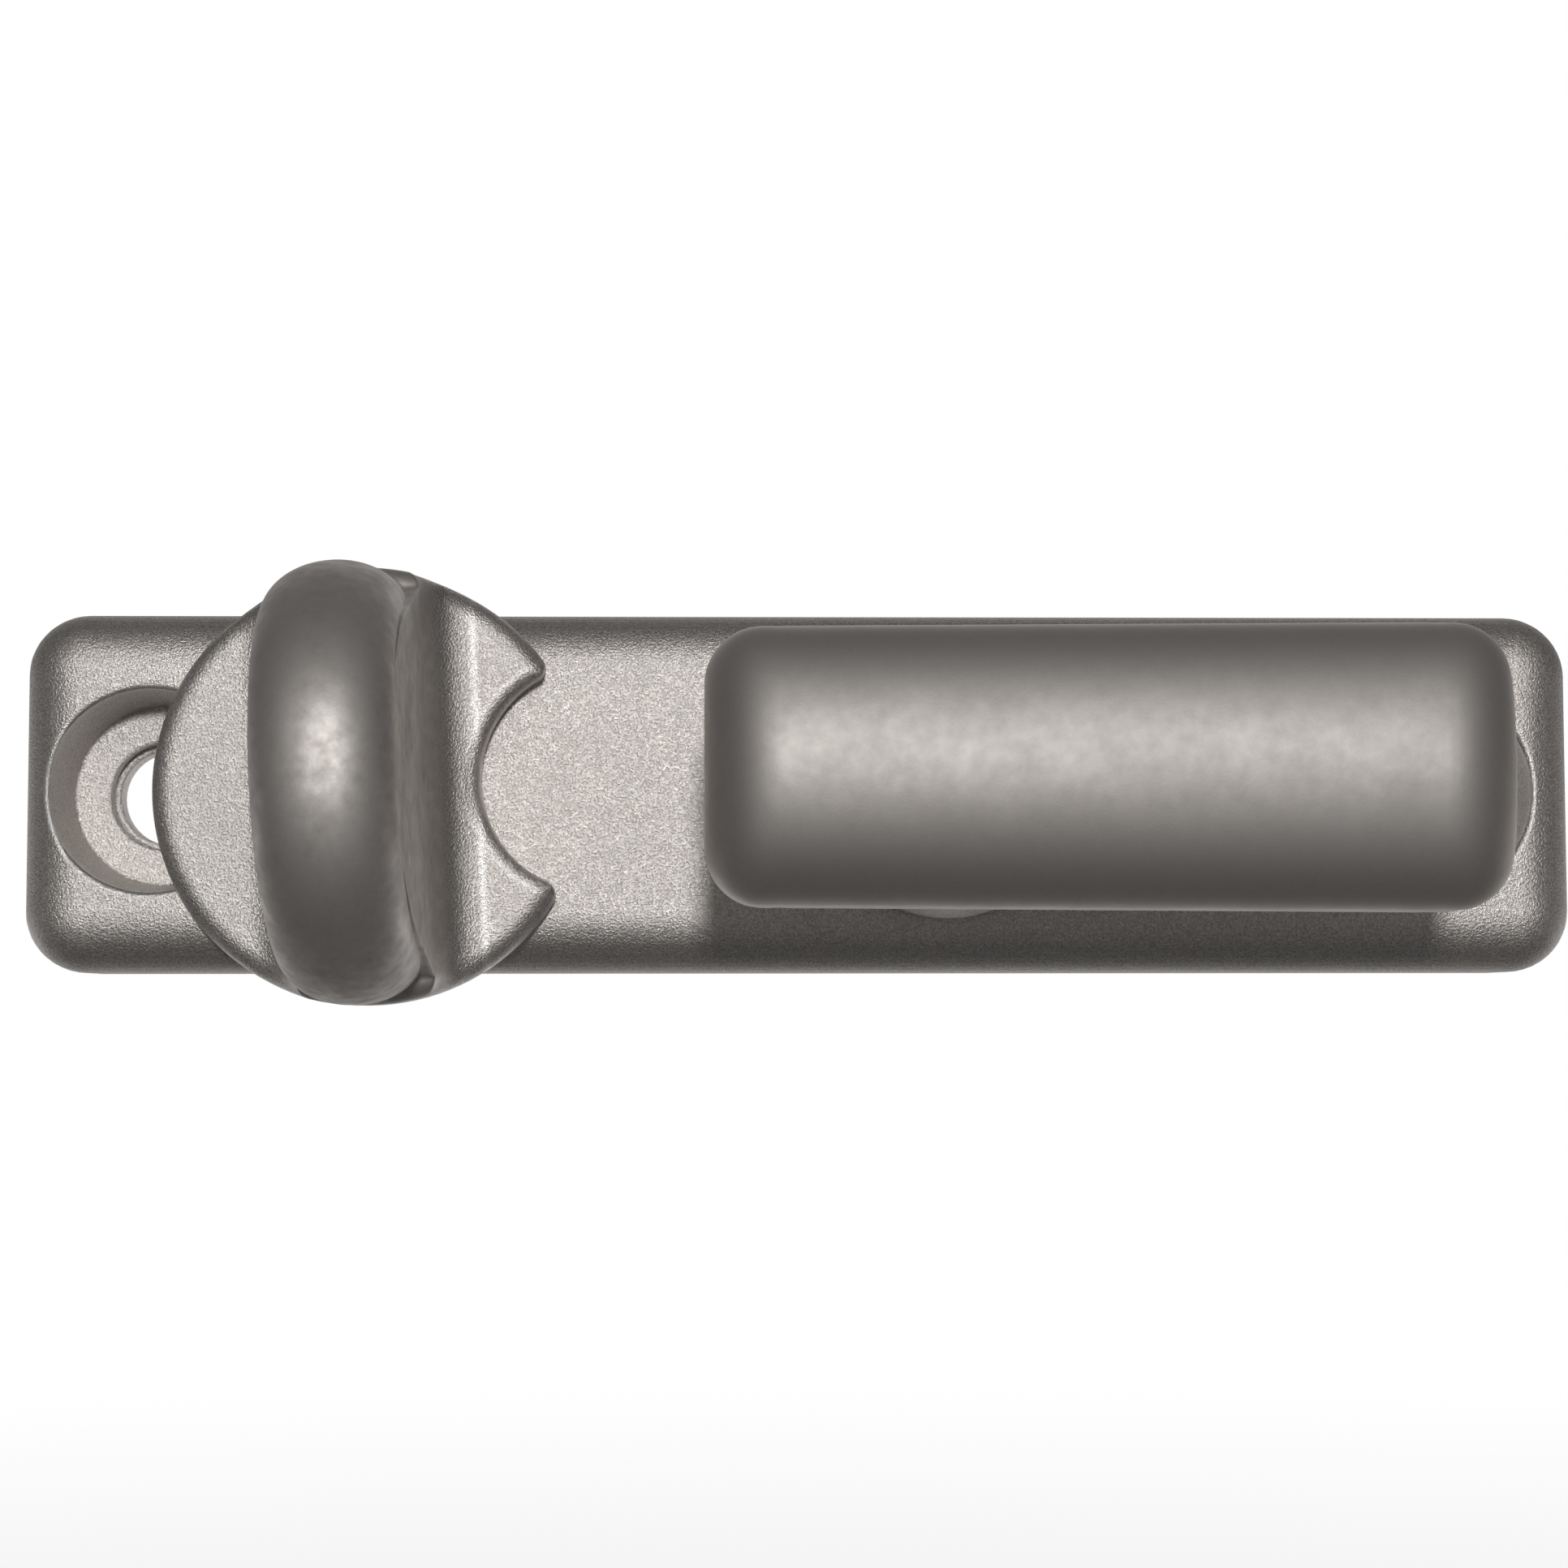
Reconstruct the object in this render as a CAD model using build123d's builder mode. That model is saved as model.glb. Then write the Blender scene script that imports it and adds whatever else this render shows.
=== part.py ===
from build123d import *
import math
import os

# Door lock furniture: a lever handle and a thumb-turn on one narrow die-cast plate.
# Millimetres. X runs along the plate, Z is up as the plate is mounted, and the door lies behind it at Y > 0.
# The origin is the centre of the mounting face. Heights named below are distances out from that face, along -Y.

# Plate
plate_length = 110.8
plate_width = 25.7
plate_height = 10.3
plate_edge = 4.2
corner_margin = 0.2
front_wall = 3.0

# Fixing screw holes, counterbored for M6 cap screws
screw_spacing = 91.0
screw_shift = -0.6
screw_hole_radius = 3.4
screw_step_radius = 3.9
screw_step_height = 2.2
counterbore_floor = 3.4
counterbore_floor_radius = 6.54
counterbore_rim_radius = 7.25
counterbore_rim_chamfer = 0.25

# Pivots along the plate
turn_x = -30.45
lever_x = 10.25
turn_rest_angle = 2.75

# Clearances
running_gap = 0.05
seat_gap = 0.02
lift_gap = 0.05

# Cavity in the back of the plate
cavity_reach = 6.8
cavity_right = 35.5
cavity_width = 21.0
cavity_corner = 2.5
cover_thickness = 1.2
cover_gap = 0.15
post_radius = 2.6
cover_screw_radius = 1.2
cover_screw_head = 2.1
cover_screw_length = 5.0
cover_screw_tip = 0.6
cover_screw_slot = 0.5
cover_screw_slot_length = 2.9
cover_screw_slot_depth = 0.6
screw_seat_land = 0.2
cover_hole_gap = 0.4

# Lever
neck_radius = 9.1
neck_waist_radius = 7.7
neck_top_radius = 8.4
journal_radius = 7.0
journal_flats = 11.0
journal_end = 1.6
lever_flange_height = 0.55
lever_flange_radius = 8.8
lever_bush_radius = 8.0
grip_left = -17.1
grip_right = 34.65
grip_half_width_left = 8.95
grip_half_width_right = 9.25
grip_underside = 27.5
grip_side_top = 33.4
grip_top = 39.0
grip_corner = 3.8
grip_end_length = 5.2
grip_end_drop = 4.8
grip_under_round = 2.0
spindle_width = 8.0
spindle_top = 24.0
spindle_length = 60.0
grub_height = 17.5
grub_radius = 2.5
grub_length = 4.0
grub_hex = 2.5
grub_socket_depth = 2.2

# Click mechanism of the lever
index_radius = 9.6
index_low = 4.9
index_high = 6.7
index_ball_radius = 1.25
index_notch_radius = 1.35
index_notch_depth = 0.4
index_channel_width = 2.7
index_channel_reach = 21.0
channel_wall = 1.8
index_pocket_gap = 0.3

# Thumb-turn
turn_radius = 15.2
turn_low = 10.7
turn_high = 13.0
turn_edge = 1.5
notch_radius = 8.0
notch_shift = 0.65
notch_edge = 0.9
horn_round = 1.05
arch_shift = -0.85
arch_half_width = 4.7
arch_crown = 3.3
arch_inset = 0.05
arch_spring_height = 18.5
arch_top = 35.4
web_left = 5.15
web_right = 4.45
shoulder_reach = 1.6
shoulder_top = 22.0
flare_radius = 3.4
turn_journal_radius = 4.5
turn_journal_end = 1.8
turn_bush_radius = 5.5
turn_flange_radius = 6.4
tailpiece_width = 5.0
tailpiece_top = 22.0
tailpiece_length = 55.0
cross_pin_radius = 0.8
cross_pin_height = 2.9

# Click mechanism of the thumb-turn
detent_radius = 9.3
detent_ball_radius = 1.5
detent_bore_floor = 3.2
detent_boss_radius = 2.7
detent_boss_floor = 1.0
dimple_depth = 0.45

# Springs
spring_wire = 0.35
index_spring_radius = 0.95
detent_spring_radius = 1.2

# Retaining rings and washers
clip_thickness = 1.0
lever_clip_margin = 0.5
lever_groove_radius = 6.4
lever_clip_radius = 8.4
lever_washer_radius = 9.4
lever_washer_thickness = 0.8
turn_clip_low = 4.2
turn_groove_radius = 4.0
turn_clip_radius = 5.7
turn_washer_radius = 6.3
turn_washer_thickness = 0.8

# Derived sizes. The plate's corners are a little larger than the rounding that runs round them, and the
# thumb-turn's arch ends just inside its disc.
plate_corner = plate_edge + corner_margin
arch_half_length = turn_radius - arch_inset
notch_centre = turn_radius + notch_shift
cavity_depth = plate_height - front_wall
cavity_left = turn_x - cavity_reach
cavity_length = cavity_right - cavity_left
cavity_centre = (cavity_left + cavity_right) / 2
screw_places = [screw_shift - screw_spacing / 2, screw_shift + screw_spacing / 2]
out = Vector(0, -1, 0)
front = Plane.XZ
lever_front = Plane(origin=(lever_x, 0, 0), x_dir=(1, 0, 0), z_dir=out)
turn_tilt = math.radians(turn_rest_angle)
turn_right = Vector(math.cos(turn_tilt), 0, math.sin(turn_tilt))
turn_front = Plane(origin=(turn_x, 0, 0), x_dir=turn_right, z_dir=out)
grub_face = Plane(origin=(lever_x, -grub_height, 0), x_dir=(1, 0, 0), z_dir=(0, 0, -1))
dimple_height = turn_low + dimple_depth - detent_ball_radius


def side_plane(face, x=0.0):
    """Plane that cuts a face plane's axis, with its own x to the right and its y pointing out."""
    return Plane(origin=face.from_local_coords(Vector(x, 0, 0)), x_dir=face.x_dir, z_dir=-face.y_dir)


def cross_plane(face, x=0.0):
    """Plane across a face plane at a distance x along it, with its own x up and its y pointing out."""
    return Plane(origin=face.from_local_coords(Vector(x, 0, 0)), x_dir=face.y_dir, z_dir=face.x_dir)


def outward_axis(face, x=0.0):
    """Axis through a face plane at a distance x along it, pointing out."""
    return Axis(face.from_local_coords(Vector(x, 0, 0)), out)


def save(piece, name):
    """Label a finished piece and write it as its own file."""
    piece.part.label = name
    export_step(piece.part, f"parts/{name}.step")


def make_ring(face, outer, inner, low, high):
    """Flat ring between two heights."""
    with BuildPart() as ring:
        with BuildSketch(face.offset(low)):
            Circle(outer)
            Circle(inner, mode=Mode.SUBTRACT)
        extrude(amount=high - low)
    return ring


def make_flanged_bush(face, flange_radius, flange_height, barrel_radius, bore_radius):
    """Bush pressed into the plate's front wall, with a flange on the plate's face."""
    with BuildPart() as bush:
        with BuildSketch(face.offset(cavity_depth)):
            Circle(barrel_radius - seat_gap)
        extrude(amount=front_wall)
        with BuildSketch(face.offset(plate_height)):
            Circle(flange_radius)
        extrude(amount=flange_height)
        with BuildSketch(face.offset(cavity_depth)):
            Circle(bore_radius)
        extrude(amount=front_wall + flange_height, mode=Mode.SUBTRACT)
    return bush


def make_disc_spring(face, outer, inner, low, high, thickness):
    """Conical spring washer, with its wide edge at the low height."""
    with BuildPart() as spring:
        with BuildSketch(side_plane(face)):
            with BuildLine():
                Polyline(
                    (inner, high - thickness),
                    (inner, high),
                    (outer, low + thickness),
                    (outer, low),
                    close=True,
                )
            make_face()
        revolve(axis=outward_axis(face))
    return spring


def make_circlip(face, groove_radius, outer, low, thickness):
    """External retaining ring with an open gap and two drilled lugs."""
    gap_width = 0.42 * groove_radius
    lug_radius = 0.2 * groove_radius
    lug_hole_radius = 0.5 * lug_radius
    lug_x = gap_width / 2 + lug_radius
    lug_y = -(outer - 0.6 * lug_radius)
    with BuildPart() as ring:
        with BuildSketch(face.offset(low)):
            Circle(outer)
            with Locations((-lug_x, lug_y), (lug_x, lug_y)):
                Circle(lug_radius)
            Circle(groove_radius, mode=Mode.SUBTRACT)
            with Locations((0, -outer)):
                Rectangle(gap_width, outer, mode=Mode.SUBTRACT)
            with Locations((-lug_x, lug_y), (lug_x, lug_y)):
                Circle(lug_hole_radius, mode=Mode.SUBTRACT)
        extrude(amount=thickness)
    return ring


def make_coil_spring(start, direction, coil_radius, length, turns):
    """Open coil spring that starts at a point and runs along a direction."""
    with BuildPart() as spring:
        with BuildLine() as coil:
            Helix(
                pitch=length / turns,
                height=length,
                radius=coil_radius,
                center=start,
                direction=direction,
            )
        with BuildSketch(Plane(origin=coil.line @ 0, z_dir=coil.line % 0)):
            Circle(spring_wire / 2)
        sweep(is_frenet=True)
    return spring


def make_ball(centre, radius):
    """Steel ball."""
    with BuildPart() as ball:
        with Locations(centre):
            Sphere(radius)
    return ball


os.makedirs("parts", exist_ok=True)

# Plate: one hollow casting, with its two pivots, screw seats, ball channels and cover posts
post_places = [
    (cavity_left + post_radius, cavity_width / 2 - post_radius),
    (cavity_left + post_radius, -cavity_width / 2 + post_radius),
    (cavity_right - post_radius, cavity_width / 2 - post_radius),
    (cavity_right - post_radius, -cavity_width / 2 + post_radius),
]
channel_block_width = index_channel_width + 2 * channel_wall
channel_block_reach = index_channel_reach + channel_wall
index_pocket_radius = index_radius + index_pocket_gap
ring_wall_radius = index_pocket_radius + channel_wall
detent_place = (0, -detent_radius)

with BuildPart() as base_plate:
    with BuildSketch(front):
        RectangleRounded(plate_length, plate_width, plate_corner)
    extrude(amount=plate_height)
    fillet(base_plate.faces().sort_by(Axis.Y)[0].edges(), plate_edge)
    # Hollow back
    with BuildSketch(front):
        with Locations((cavity_centre, 0)):
            RectangleRounded(cavity_length, cavity_width, cavity_corner)
    extrude(amount=cavity_depth, mode=Mode.SUBTRACT)
    # Walls left standing around the click mechanism, the posts and the ball's boss
    with BuildSketch(front.offset(cover_thickness)):
        with Locations((lever_x, 0)):
            Circle(ring_wall_radius)
            Rectangle(2 * channel_block_reach, channel_block_width)
        with Locations((lever_x, 0)):
            Circle(index_pocket_radius, mode=Mode.SUBTRACT)
            Rectangle(2 * index_channel_reach, index_channel_width, mode=Mode.SUBTRACT)
        with Locations((cavity_centre, 0)):
            Rectangle(cavity_length, cavity_width, mode=Mode.INTERSECT)
    extrude(amount=cavity_depth - cover_thickness)
    with BuildSketch(front.offset(cover_thickness)):
        with Locations(*post_places):
            Circle(post_radius)
    extrude(amount=cavity_depth - cover_thickness)
    with BuildSketch(turn_front.offset(detent_bore_floor - detent_boss_floor)):
        with Locations(detent_place):
            Circle(detent_boss_radius)
    extrude(amount=cavity_depth - detent_bore_floor + detent_boss_floor)
    with BuildSketch(front.offset(cover_thickness)):
        with Locations(*post_places):
            Circle(cover_screw_radius)
    extrude(amount=cover_screw_length, mode=Mode.SUBTRACT)
    # Pivot bores and the bore of the thumb-turn's ball
    with BuildSketch(lever_front.offset(cavity_depth)):
        Circle(lever_bush_radius)
    extrude(amount=front_wall, mode=Mode.SUBTRACT)
    with BuildSketch(turn_front.offset(cavity_depth)):
        Circle(turn_bush_radius)
    extrude(amount=front_wall, mode=Mode.SUBTRACT)
    with BuildSketch(turn_front.offset(detent_bore_floor)):
        with Locations(detent_place):
            Circle(detent_ball_radius + running_gap)
    extrude(amount=plate_height - detent_bore_floor, mode=Mode.SUBTRACT)
    # Counterbored screw seats, cut by one stepped profile each
    for screw_x in screw_places:
        with BuildSketch(side_plane(front, screw_x)):
            with BuildLine():
                Polyline(
                    (0, 0),
                    (screw_hole_radius, 0),
                    (screw_hole_radius, screw_step_height),
                    (screw_step_radius, screw_step_height),
                    (screw_step_radius, counterbore_floor),
                    (counterbore_floor_radius, counterbore_floor),
                    (counterbore_rim_radius, plate_height - counterbore_rim_chamfer),
                    (counterbore_rim_radius + counterbore_rim_chamfer, plate_height),
                    (0, plate_height),
                    close=True,
                )
            make_face()
        revolve(axis=outward_axis(front, screw_x), mode=Mode.SUBTRACT)
save(base_plate, "base_plate")

# Cover let into the back of the plate, with countersunk screws into the posts
with BuildPart() as back_cover:
    with BuildSketch(front):
        with Locations((cavity_centre, 0)):
            RectangleRounded(
                cavity_length - 2 * cover_gap,
                cavity_width - 2 * cover_gap,
                cavity_corner - cover_gap,
            )
        with Locations((lever_x, 0)):
            Circle(spindle_width / math.sqrt(2) + cover_hole_gap, mode=Mode.SUBTRACT)
        with Locations((turn_x, 0)):
            Circle(tailpiece_width / math.sqrt(2) + cover_hole_gap, mode=Mode.SUBTRACT)
    extrude(amount=cover_thickness)
    for place in post_places:
        post_face = Plane(origin=(place[0], 0, place[1]), x_dir=(1, 0, 0), z_dir=out)
        with BuildSketch(side_plane(post_face)):
            with BuildLine():
                Polyline(
                    (0, 0),
                    (cover_screw_head, 0),
                    (cover_screw_radius, cover_thickness - screw_seat_land),
                    (cover_screw_radius, cover_thickness),
                    (0, cover_thickness),
                    close=True,
                )
            make_face()
        revolve(axis=outward_axis(post_face), mode=Mode.SUBTRACT)
save(back_cover, "back_cover")

with BuildPart() as cover_screws:
    for place in post_places:
        post_face = Plane(origin=(place[0], 0, place[1]), x_dir=(1, 0, 0), z_dir=out)
        with BuildSketch(side_plane(post_face)):
            with BuildLine():
                Polyline(
                    (0, 0),
                    (cover_screw_head, 0),
                    (cover_screw_radius, cover_thickness - screw_seat_land),
                    (cover_screw_radius, cover_screw_length),
                    (0, cover_screw_length + cover_screw_tip),
                    close=True,
                )
            make_face()
        revolve(axis=outward_axis(post_face))
        with BuildSketch(post_face):
            Rectangle(cover_screw_slot_length, cover_screw_slot)
            Rectangle(cover_screw_slot, cover_screw_slot_length)
        extrude(amount=cover_screw_slot_depth, mode=Mode.SUBTRACT)
save(cover_screws, "cover_screws")

# Lever: grip, neck and journal are one casting
grip_section_count = 6


def end_curve(distance, length):
    """Share of the full size at a distance from the grip's end, along a quarter ellipse."""
    part = min(distance / length, 1.0)
    return math.sqrt(1 - (1 - part) ** 2)


def draw_grip_section(x, distance, half_width):
    """Cross-section of the grip at x, drawn at its distance from the nearer end."""
    half = half_width - grip_corner * (1 - end_curve(distance, grip_corner))
    top = grip_top - grip_end_drop * (1 - end_curve(distance, grip_end_length))
    under = grip_underside + grip_under_round * (1 - end_curve(distance, grip_under_round))
    side = min(grip_side_top, top - 1.5)
    with BuildSketch(cross_plane(lever_front, x)) as section:
        with BuildLine():
            Line((-half + grip_under_round, under), (half - grip_under_round, under))
            CenterArc((half - grip_under_round, under + grip_under_round), grip_under_round, -90, 90)
            Line((half, under + grip_under_round), (half, side))
            EllipticalCenterArc((0, side), half, top - side, start_angle=0, arc_size=180)
            Line((-half, side), (-half, under + grip_under_round))
            CenterArc((-half + grip_under_round, under + grip_under_round), grip_under_round, 180, 90)
        make_face()
    return section.sketch


end_steps = [
    grip_end_length * (1 - math.cos(math.radians(90 * step / grip_section_count)))
    for step in range(grip_section_count + 1)
]
left_cap = [draw_grip_section(grip_left + step, step, grip_half_width_left) for step in end_steps]
right_cap = [draw_grip_section(grip_right - step, step, grip_half_width_right) for step in end_steps]
with BuildPart() as lever_handle:
    # Two rounded ends and the straight bar between them
    loft(sections=left_cap)
    loft(sections=[left_cap[-1], right_cap[-1]], ruled=True)
    loft(sections=right_cap)
    # Neck, turned about the pivot
    with BuildSketch(side_plane(lever_front)):
        with BuildLine():
            neck_foot = (neck_radius, plate_height + lever_flange_height + lift_gap)
            neck_step = (neck_radius, neck_foot[1] + 1.8)
            neck_waist = (neck_waist_radius, (neck_step[1] + grip_underside) / 2)
            neck_top = (neck_top_radius, grip_underside + 1.0)
            Line((0, neck_foot[1]), neck_foot)
            Line(neck_foot, neck_step)
            ThreePointArc(neck_step, neck_waist, neck_top)
            Line(neck_top, (0, neck_top[1]))
            Line((0, neck_top[1]), (0, neck_foot[1]))
        make_face()
    revolve(axis=outward_axis(lever_front))
    # Journal, round where it turns and flatted where the click disc sits
    with BuildSketch(lever_front.offset(index_high)):
        Circle(journal_radius)
    extrude(amount=neck_foot[1] - index_high)
    with BuildSketch(lever_front.offset(journal_end)):
        Circle(journal_radius)
        Rectangle(journal_flats, 2 * journal_radius, mode=Mode.INTERSECT)
    extrude(amount=index_high - journal_end)
    # Groove for the retaining ring, square socket for the spindle and tapped hole for its grub screw
    with BuildSketch(lever_front.offset(journal_end + lever_clip_margin)):
        Circle(journal_radius + 1.0)
        Circle(lever_groove_radius, mode=Mode.SUBTRACT)
    extrude(amount=clip_thickness, mode=Mode.SUBTRACT)
    with BuildSketch(lever_front.offset(journal_end)):
        Rectangle(spindle_width + 2 * running_gap, spindle_width + 2 * running_gap)
    extrude(amount=spindle_top - journal_end, mode=Mode.SUBTRACT)
    with BuildSketch(grub_face):
        Circle(grub_radius)
    extrude(amount=neck_radius + 1.0, mode=Mode.SUBTRACT)
save(lever_handle, "lever_handle")

with BuildPart() as lever_spindle:
    with BuildSketch(lever_front.offset(spindle_top - spindle_length)):
        Rectangle(spindle_width, spindle_width)
    extrude(amount=spindle_length)
    chamfer(lever_spindle.faces().sort_by(Axis.Y)[-1].edges(), 0.8)
save(lever_spindle, "lever_spindle")

with BuildPart() as lever_grub_screw:
    with BuildSketch(grub_face.offset(spindle_width / 2)):
        Circle(grub_radius - seat_gap)
    extrude(amount=grub_length)
    with BuildSketch(grub_face.offset(spindle_width / 2 + grub_length - grub_socket_depth)):
        RegularPolygon(grub_hex / 2, 6, major_radius=False)
    extrude(amount=grub_socket_depth, mode=Mode.SUBTRACT)
    chamfer(lever_grub_screw.faces().sort_by(Axis.Z)[-1].edges(), 0.4)
save(lever_grub_screw, "lever_grub_screw")

lever_bush = make_flanged_bush(
    lever_front, lever_flange_radius, lever_flange_height, lever_bush_radius, journal_radius + running_gap
)
save(lever_bush, "lever_bush")

# Click disc on the flats of the journal, with a notch for each ball at every quarter turn
with BuildPart() as lever_index_disc:
    with BuildSketch(lever_front.offset(index_low)):
        Circle(index_radius)
        with PolarLocations(index_radius + index_ball_radius - index_notch_depth, 4):
            Circle(index_notch_radius, mode=Mode.SUBTRACT)
        with BuildSketch(mode=Mode.SUBTRACT):
            Circle(journal_radius + seat_gap)
            Rectangle(journal_flats + 2 * seat_gap, 3 * journal_radius, mode=Mode.INTERSECT)
    extrude(amount=index_high - index_low)
save(lever_index_disc, "lever_index_disc")

ball_offset = index_radius + lift_gap + index_ball_radius
ball_height = (index_low + index_high) / 2
for side, name in [(-1, "left"), (1, "right")]:
    ball_centre = lever_front.from_local_coords(Vector(side * ball_offset, 0, ball_height))
    save(make_ball(ball_centre, index_ball_radius), f"index_ball_{name}")
    spring_start_offset = index_channel_reach - spring_wire / 2
    spring_start = lever_front.from_local_coords(Vector(side * spring_start_offset, 0, ball_height))
    spring_length = spring_start_offset - ball_offset - 0.75 * index_ball_radius
    spring = make_coil_spring(spring_start, (-side, 0, 0), index_spring_radius, spring_length, 7)
    save(spring, f"index_spring_{name}")

lever_clip_low = journal_end + lever_clip_margin
lever_clip_high = lever_clip_low + clip_thickness
lever_washer_high = lever_clip_high + lever_washer_thickness
lever_washer = make_ring(
    lever_front, lever_washer_radius, journal_radius + running_gap, lever_clip_high, lever_washer_high
)
save(lever_washer, "lever_washer")
lever_disc_spring = make_disc_spring(
    lever_front, lever_washer_radius, journal_radius + 4 * running_gap, lever_washer_high, index_low, 0.5
)
save(lever_disc_spring, "lever_disc_spring")
save(
    make_circlip(lever_front, lever_groove_radius, lever_clip_radius, lever_clip_low, clip_thickness),
    "lever_circlip",
)

# Thumb-turn: notched disc, arched grip and journal are one casting
arch_centreline_half = arch_half_length - arch_crown
arch_rise = arch_top - arch_spring_height - arch_crown
crown_widest = arch_top - arch_crown
turn_along = cross_plane(turn_front)
arch_along = cross_plane(turn_front, arch_shift)
turn_side = side_plane(turn_front)
flare_top = turn_high + flare_radius
flare_left = web_left + flare_radius
flare_right = web_right + flare_radius
rim_low = turn_high - turn_edge
shoulder_foot = arch_centreline_half + shoulder_reach
shoulder_end = arch_centreline_half * math.sqrt(1 - ((shoulder_top - arch_spring_height) / arch_rise) ** 2)

# Drafted web that fills the arch, with a shoulder beside the foot of each leg
with BuildPart() as turn_web:
    with BuildSketch(turn_side):
        with BuildLine():
            crown_left = arch_shift - arch_half_width + 0.1
            crown_right = arch_shift + arch_half_width - 0.1
            Polyline(
                (-web_left, rim_low),
                (web_right, rim_low),
                (web_right, flare_top),
                (crown_right, crown_widest),
                (crown_left, crown_widest),
                (-web_left, flare_top),
                close=True,
            )
        make_face()
    extrude(amount=turn_radius, both=True)
    with BuildSketch(turn_along):
        with Locations((0, arch_spring_height)):
            Ellipse(arch_centreline_half, arch_rise)
        with BuildLine():
            Polyline(
                (-shoulder_foot, rim_low),
                (shoulder_foot, rim_low),
                (shoulder_foot, flare_top),
                (shoulder_end, shoulder_top),
                (-shoulder_end, shoulder_top),
                (-shoulder_foot, flare_top),
                close=True,
            )
        make_face()
    extrude(amount=turn_radius, both=True, mode=Mode.INTERSECT)

# Concave flares from the web down to the disc, run out to the rim
with BuildPart() as turn_flares:
    with BuildSketch(turn_side):
        with BuildLine():
            Polyline(
                (-flare_left, turn_high),
                (-flare_left, rim_low),
                (flare_right, rim_low),
                (flare_right, turn_high),
            )
            CenterArc((flare_right, flare_top), flare_radius, -90, -90)
            Line((web_right, flare_top), (-web_left, flare_top))
            CenterArc((-flare_left, flare_top), flare_radius, 0, -90)
        make_face()
    extrude(amount=turn_radius, both=True)
    with BuildSketch(turn_front.offset(rim_low)):
        Circle(turn_radius)
    extrude(amount=flare_top - rim_low, mode=Mode.INTERSECT)


def is_on_rim(edge):
    """Whether an edge lies on the outside of the thumb-turn's disc, at its top or above."""
    points = (edge @ 0, edge @ 0.5, edge @ 1)
    distances = [(point - turn_front.origin).cross(out).length for point in points]
    on_outside = all(abs(distance - turn_radius) < 0.01 for distance in distances)
    return on_outside and -edge.center().Y > turn_high - 0.01


with BuildPart() as thumb_turn:
    with BuildSketch(turn_front.offset(turn_low)):
        Circle(turn_radius)
    extrude(amount=turn_high - turn_low)
    add(turn_flares.part)
    fillet([edge for edge in thumb_turn.edges() if is_on_rim(edge)], turn_edge)
    # Notch with rounded horns, cut as all that lies outside the disc's notched outline
    with BuildSketch(turn_front.offset(turn_low)):
        with Locations((turn_radius, 0)):
            Rectangle(turn_radius, 2 * turn_radius)
        with BuildSketch(mode=Mode.SUBTRACT) as turn_outline:
            Circle(turn_radius)
            with Locations((notch_centre, 0)):
                Circle(notch_radius, mode=Mode.SUBTRACT)
            fillet(turn_outline.vertices(), horn_round)
    extrude(amount=flare_top - turn_low, mode=Mode.SUBTRACT)
    # Rounded edge of the notch, turned about the notch's own axis
    with BuildSketch(side_plane(turn_front, notch_centre)):
        with BuildLine():
            notch_low = turn_high - notch_edge
            notch_wide = notch_radius + notch_edge
            CenterArc((notch_wide, notch_low), notch_edge, 90, 90)
            Polyline(
                (notch_radius, notch_low),
                (0, notch_low),
                (0, flare_top),
                (notch_wide, flare_top),
                (notch_wide, turn_high),
            )
        make_face()
    revolve(axis=outward_axis(turn_front, notch_centre), mode=Mode.SUBTRACT)
    add(turn_web.part)
    # Crown of the grip, an ellipse swept along the arch
    with BuildLine(arch_along) as arch_path:
        Line((-arch_centreline_half, rim_low), (-arch_centreline_half, arch_spring_height))
        EllipticalCenterArc(
            (0, arch_spring_height), arch_centreline_half, arch_rise, start_angle=180, arc_size=-180
        )
        Line((arch_centreline_half, arch_spring_height), (arch_centreline_half, rim_low))
    with BuildSketch(Plane(origin=arch_path.line @ 0, x_dir=turn_front.x_dir, z_dir=arch_path.line % 0)):
        Ellipse(arch_half_width, arch_crown)
    sweep()
    # Journal with its ring groove, square socket and cross hole
    with BuildSketch(turn_front.offset(turn_journal_end)):
        Circle(turn_journal_radius)
    extrude(amount=turn_low - turn_journal_end)
    with BuildSketch(turn_front.offset(turn_clip_low)):
        Circle(turn_journal_radius + 1.0)
        Circle(turn_groove_radius, mode=Mode.SUBTRACT)
    extrude(amount=clip_thickness, mode=Mode.SUBTRACT)
    with BuildSketch(turn_front.offset(turn_journal_end)):
        Rectangle(tailpiece_width + 2 * running_gap, tailpiece_width + 2 * running_gap)
    extrude(amount=tailpiece_top - turn_journal_end, mode=Mode.SUBTRACT)
    with BuildSketch(turn_along):
        with Locations((0, cross_pin_height)):
            Circle(cross_pin_radius)
    extrude(amount=turn_journal_radius + 1.0, both=True, mode=Mode.SUBTRACT)
    # Dimples under the disc, one for the ball at each quarter turn
    for quarter in range(3):
        turned = math.radians(-90 * (quarter + 1))
        dimple_place = Vector(detent_radius * math.cos(turned), detent_radius * math.sin(turned), dimple_height)
        with Locations(turn_front.from_local_coords(dimple_place)):
            Sphere(detent_ball_radius, mode=Mode.SUBTRACT)
save(thumb_turn, "thumb_turn")

with BuildPart() as turn_tailpiece:
    with BuildSketch(turn_front.offset(tailpiece_top - tailpiece_length)):
        Rectangle(tailpiece_width, tailpiece_width)
    extrude(amount=tailpiece_length)
    chamfer(turn_tailpiece.faces().sort_by(Axis.Y)[-1].edges(), 0.5)
    with BuildSketch(turn_along):
        with Locations((0, cross_pin_height)):
            Circle(cross_pin_radius)
    extrude(amount=tailpiece_width, both=True, mode=Mode.SUBTRACT)
save(turn_tailpiece, "turn_tailpiece")

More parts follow.
